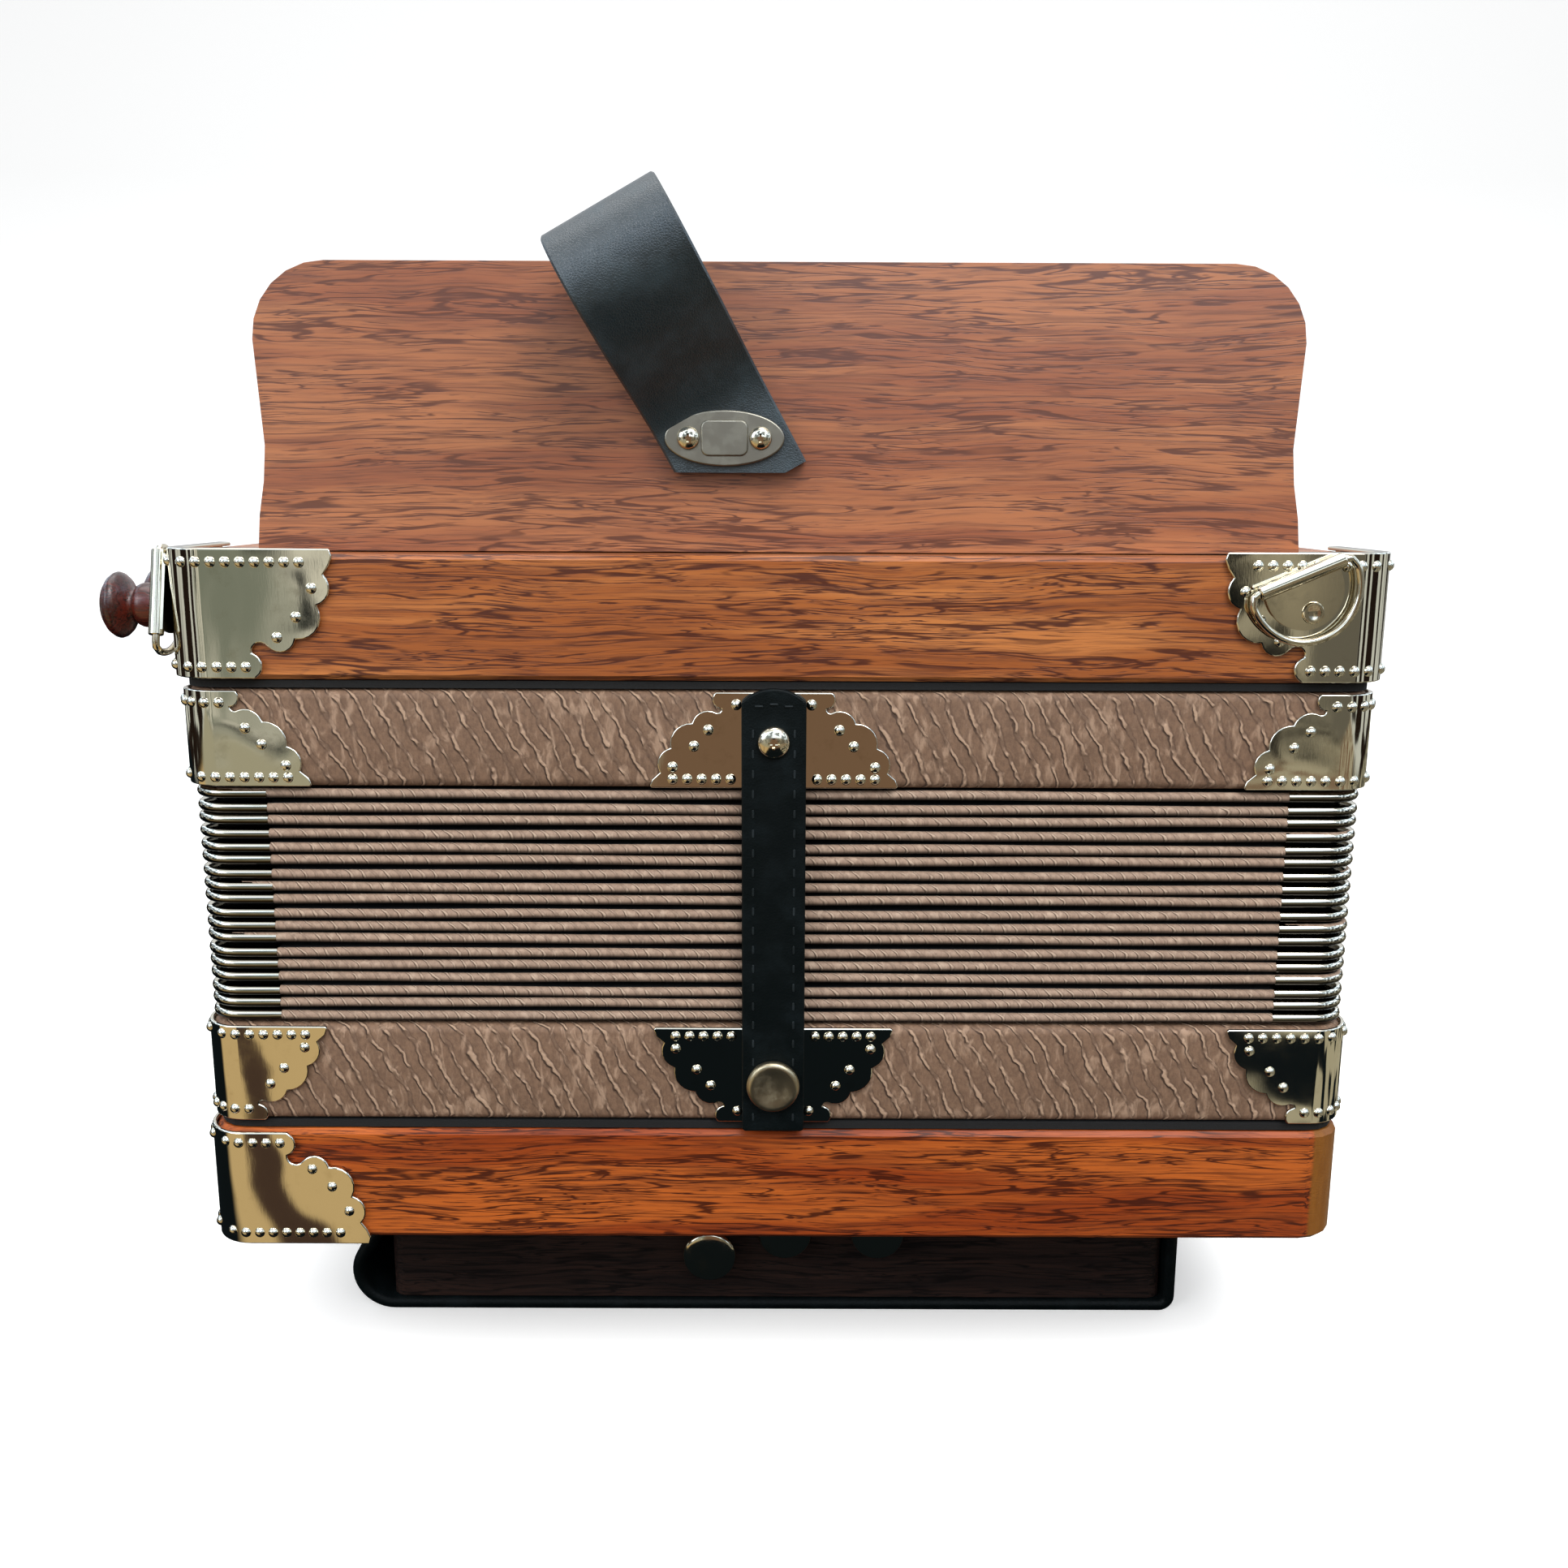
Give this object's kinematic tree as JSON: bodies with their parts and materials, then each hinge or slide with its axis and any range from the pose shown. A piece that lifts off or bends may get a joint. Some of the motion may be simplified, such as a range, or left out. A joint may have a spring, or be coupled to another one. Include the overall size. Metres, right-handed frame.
{
  "type": "diatonic button accordion",
  "caption": "Small diatonic button accordion standing on its bass end: wooden ends, ribbed bellows, fingerboard with lever keys, stops, thumb strap and snap straps.",
  "frame": {"origin": "middle of the face it stands on, the underside of the hand strap below the bass box", "axes": "+Z from the bass end to the treble end along the bellows, -Y the player's side with the thumb strap, +X along the fingerboard away from the stop knobs"},
  "size_m": [0.3278, 0.1938, 0.3061],
  "materials": {
    "red_wood": "satin laminate",
    "dark_wood": "satin stain",
    "walnut": "satin laminate",
    "knob_wood": "polished, turned",
    "pale_wood": "bare",
    "taupe_leatherette": "embossed leatherette",
    "gasket_felt": "felt",
    "nickel": "bright plate",
    "steel": "satin",
    "key_metal": "satin",
    "black_leather": "smooth"
  },
  "bodies": {
    "root": {"bass_case": "red_wood", "bass_box": "dark_wood", "bass_reed_block": "pale_wood", "hand_strap": "black_leather", "strap_anchor_left": "nickel", "strap_anchor_right": "nickel", "bass_gasket": "gasket_felt", "bass_frame": "taupe_leatherette", "bellows": "taupe_leatherette", "bass_corner_rear_left": "nickel", "bass_corner_front_left": "nickel", "bass_corner_front_right": "nickel", "snap_stud_rear": "nickel", "snap_stud_front": "nickel"},
    "treble_half": {"treble_frame": "taupe_leatherette", "treble_gasket": "gasket_felt", "treble_case": "walnut", "treble_action_board": "walnut", "treble_corner_rear_left": "nickel", "treble_corner_rear_right": "nickel", "treble_corner_front_left": "nickel", "treble_corner_front_right": "nickel", "fingerboard": "walnut", "key_axle": "steel", "treble_reed_block_1": "pale_wood", "treble_reed_block_2": "pale_wood", "strap_tab_rear": "black_leather", "strap_tab_front": "black_leather", "strap_screw_rear": "nickel", "strap_screw_front": "nickel", "thumb_strap": "black_leather", "thumb_strap_plate": "nickel", "ring_bracket_rear": "nickel", "ring_bracket_left": "nickel"},
    "strap_rear": {"strap_tail_rear": "black_leather", "snap_cap_rear": "nickel"},
    "strap_front": {"strap_tail_front": "black_leather", "snap_cap_front": "nickel"},
    "ring_rear": {"d_ring_rear": "nickel"},
    "ring_left": {"d_ring_left": "nickel"},
    "key_1": {"key_1": "key_metal"},
    "key_2": {"key_2": "key_metal"},
    "key_3": {"key_3": "key_metal"},
    "key_4": {"key_4": "key_metal"},
    "key_5": {"key_5": "key_metal"},
    "key_6": {"key_6": "key_metal"},
    "key_7": {"key_7": "key_metal"},
    "key_8": {"key_8": "key_metal"},
    "key_9": {"key_9": "key_metal"},
    "key_10": {"key_10": "key_metal"},
    "stop_1": {"stop_1": "knob_wood"},
    "stop_2": {"stop_2": "knob_wood"},
    "stop_3": {"stop_3": "knob_wood"},
    "stop_4": {"stop_4": "knob_wood"},
    "bass_button_1": {"bass_button_1": "steel"},
    "bass_button_2": {"bass_button_2": "steel"},
    "air_button": {"air_button": "steel"},
    "bass_lever_1": {"bass_lever_1": "steel"},
    "bass_lever_2": {"bass_lever_2": "steel"},
    "air_lever": {"air_lever": "steel"}
  },
  "joints": [
    {"name": "bellows_draw", "type": "slide", "parent": "root", "child": "treble_half", "axis": [0, 0, 1], "range_m": [0, 0.25], "deforming": ["bellows"]},
    {"name": "strap_swing_rear", "type": "hinge", "parent": "treble_half", "child": "strap_rear", "pos_m": [-0.001, -0.0875, 0.1702], "axis": [-1, 0, 0], "range_deg": [0, 110]},
    {"name": "strap_swing_front", "type": "hinge", "parent": "treble_half", "child": "strap_front", "pos_m": [-0.001, 0.0875, 0.1702], "axis": [1, 0, 0], "range_deg": [0, 110]},
    {"name": "key_press_1", "type": "hinge", "parent": "treble_half", "child": "key_1", "pos_m": [-0.099, -0.0655, 0.2439], "axis": [1, 0, 0], "range_deg": [0, 5], "stiffness_Nm_per_rad": 0.5, "springref_deg": -2.86},
    {"name": "key_press_2", "type": "hinge", "parent": "treble_half", "child": "key_2", "pos_m": [-0.077, -0.0655, 0.2439], "axis": [1, 0, 0], "range_deg": [0, 5], "stiffness_Nm_per_rad": 0.5, "springref_deg": -2.86},
    {"name": "key_press_3", "type": "hinge", "parent": "treble_half", "child": "key_3", "pos_m": [-0.055, -0.0655, 0.2439], "axis": [1, 0, 0], "range_deg": [0, 5], "stiffness_Nm_per_rad": 0.5, "springref_deg": -2.86},
    {"name": "key_press_4", "type": "hinge", "parent": "treble_half", "child": "key_4", "pos_m": [-0.033, -0.0655, 0.2439], "axis": [1, 0, 0], "range_deg": [0, 5], "stiffness_Nm_per_rad": 0.5, "springref_deg": -2.86},
    {"name": "key_press_5", "type": "hinge", "parent": "treble_half", "child": "key_5", "pos_m": [-0.011, -0.0655, 0.2439], "axis": [1, 0, 0], "range_deg": [0, 5], "stiffness_Nm_per_rad": 0.5, "springref_deg": -2.86},
    {"name": "key_press_6", "type": "hinge", "parent": "treble_half", "child": "key_6", "pos_m": [0.011, -0.0655, 0.2439], "axis": [1, 0, 0], "range_deg": [0, 5], "stiffness_Nm_per_rad": 0.5, "springref_deg": -2.86},
    {"name": "key_press_7", "type": "hinge", "parent": "treble_half", "child": "key_7", "pos_m": [0.033, -0.0655, 0.2439], "axis": [1, 0, 0], "range_deg": [0, 5], "stiffness_Nm_per_rad": 0.5, "springref_deg": -2.86},
    {"name": "key_press_8", "type": "hinge", "parent": "treble_half", "child": "key_8", "pos_m": [0.055, -0.0655, 0.2439], "axis": [1, 0, 0], "range_deg": [0, 5], "stiffness_Nm_per_rad": 0.5, "springref_deg": -2.86},
    {"name": "key_press_9", "type": "hinge", "parent": "treble_half", "child": "key_9", "pos_m": [0.077, -0.0655, 0.2439], "axis": [1, 0, 0], "range_deg": [0, 5], "stiffness_Nm_per_rad": 0.5, "springref_deg": -2.86},
    {"name": "key_press_10", "type": "hinge", "parent": "treble_half", "child": "key_10", "pos_m": [0.099, -0.0655, 0.2439], "axis": [1, 0, 0], "range_deg": [0, 5], "stiffness_Nm_per_rad": 0.5, "springref_deg": -2.86},
    {"name": "stop_draw_1", "type": "slide", "parent": "treble_half", "child": "stop_1", "axis": [-1, 0, 0], "range_m": [0, 0.008]},
    {"name": "stop_draw_2", "type": "slide", "parent": "treble_half", "child": "stop_2", "axis": [-1, 0, 0], "range_m": [0, 0.008]},
    {"name": "stop_draw_3", "type": "slide", "parent": "treble_half", "child": "stop_3", "axis": [-1, 0, 0], "range_m": [0, 0.008]},
    {"name": "stop_draw_4", "type": "slide", "parent": "treble_half", "child": "stop_4", "axis": [-1, 0, 0], "range_m": [0, 0.008]},
    {"name": "bass_button_1_press", "type": "slide", "parent": "root", "child": "bass_button_1", "axis": [0, 1, 0], "range_m": [0, 0.004], "stiffness_N_per_m": 300, "springref_m": -0.003},
    {"name": "bass_button_2_press", "type": "slide", "parent": "root", "child": "bass_button_2", "axis": [0, 1, 0], "range_m": [0, 0.004], "stiffness_N_per_m": 300, "springref_m": -0.003},
    {"name": "air_button_press", "type": "slide", "parent": "root", "child": "air_button", "axis": [0, 1, 0], "range_m": [0, 0.004], "stiffness_N_per_m": 300, "springref_m": -0.003},
    {"name": "bass_lever_1_turn", "type": "hinge", "parent": "root", "child": "bass_lever_1", "pos_m": [0.0023, -0.025, 0.0136], "axis": [-1, 0, 0], "range_deg": [0, 18]},
    {"name": "bass_lever_2_turn", "type": "hinge", "parent": "root", "child": "bass_lever_2", "pos_m": [0.0289, -0.025, 0.0136], "axis": [-1, 0, 0], "range_deg": [0, 18]},
    {"name": "air_lever_turn", "type": "hinge", "parent": "root", "child": "air_lever", "pos_m": [-0.0194, -0.025, 0.0136], "axis": [-1, 0, 0], "range_deg": [0, 37]},
    {"name": "ring_swing_rear", "type": "hinge", "parent": "treble_half", "child": "ring_rear", "pos_m": [0.1232, -0.0886, 0.2174], "axis": [-0.9205, 0, -0.3907], "range_deg": [0, 150]},
    {"name": "ring_swing_left", "type": "hinge", "parent": "treble_half", "child": "ring_left", "pos_m": [-0.1506, -0.0787, 0.212], "axis": [0, 0.2756, 0.9613], "range_deg": [0, 150]}
  ],
  "couplings": [
    {"joint": "bass_lever_1_turn", "follows": "bass_button_1_press", "rad_per_m": 78.5},
    {"joint": "bass_lever_2_turn", "follows": "bass_button_2_press", "rad_per_m": 78.5},
    {"joint": "air_lever_turn", "follows": "air_button_press", "rad_per_m": 161}
  ]
}
